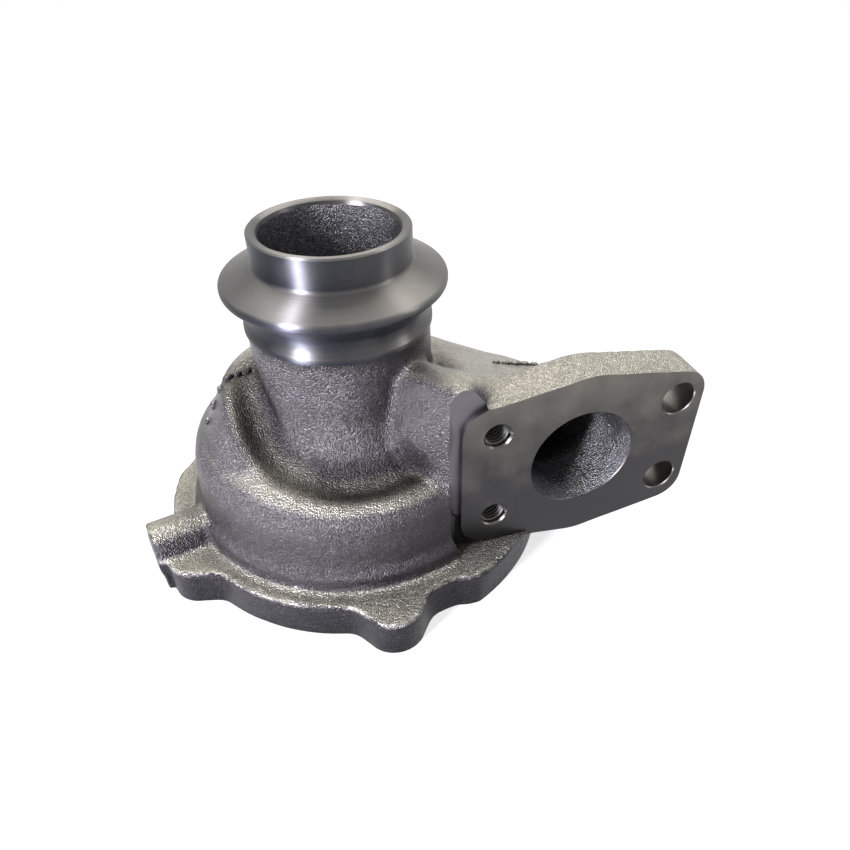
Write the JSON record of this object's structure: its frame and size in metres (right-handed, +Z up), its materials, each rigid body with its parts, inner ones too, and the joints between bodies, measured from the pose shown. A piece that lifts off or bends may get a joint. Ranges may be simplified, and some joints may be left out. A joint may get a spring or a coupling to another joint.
{
  "type": "turbocharger turbine housing",
  "caption": "Cast turbine housing with a tapering gas scroll, an oblong bolted inlet flange, a clamp-ridge outlet neck and a lugged base flange.",
  "frame": {"origin": "centre of the base flange's machined bottom face, on the turbine axis", "axes": "+Z up the turbine axis to the outlet, -Y out of the inlet face, +X along the inlet flange away from the neck"},
  "size_m": [0.1733, 0.1377, 0.103],
  "materials": {
    "cast_iron": "as-cast pebbled grey-brown skin with turned and milled seats"
  },
  "bodies": {
    "root": {"turbine_housing": "cast_iron"}
  },
  "joints": []
}
